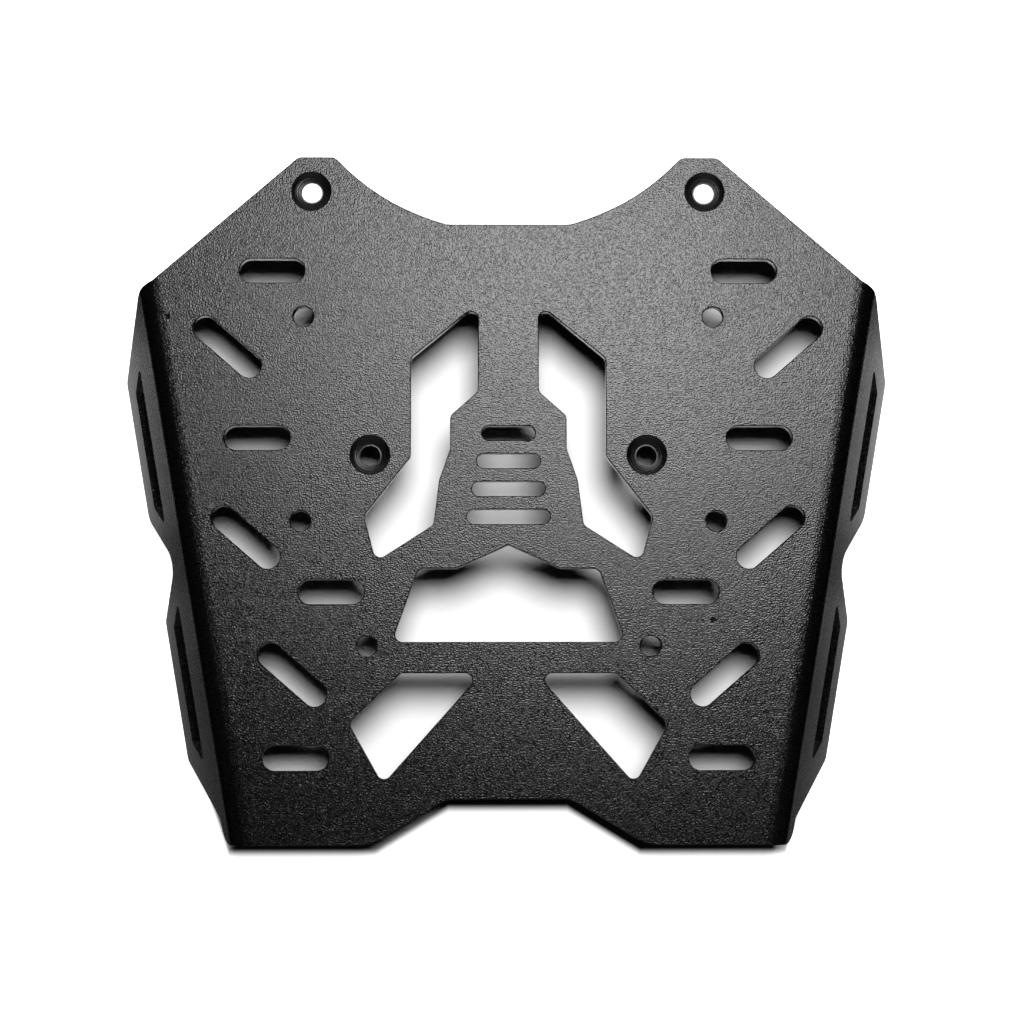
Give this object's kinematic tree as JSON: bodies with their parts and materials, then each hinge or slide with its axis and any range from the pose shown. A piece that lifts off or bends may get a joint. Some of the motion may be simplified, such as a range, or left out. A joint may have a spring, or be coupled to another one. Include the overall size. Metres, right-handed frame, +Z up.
{
  "type": "motorcycle luggage rack",
  "caption": "Folded sheet luggage rack for a motorcycle's tail, with a windowed deck, strap slots, recessed bolt holes and slotted side tabs bent down.",
  "frame": {"origin": "middle of the footprint, on the ground that the folded tabs stand on", "axes": "+X across the rack to its right, +Y to its front (the two eared end, towards the seat), +Z up out of the deck"},
  "size_m": [0.3242, 0.2832, 0.0389],
  "materials": {
    "powder_coat": "fine-textured satin black powder coat"
  },
  "bodies": {
    "root": {"rack_plate": "powder_coat"}
  },
  "joints": []
}
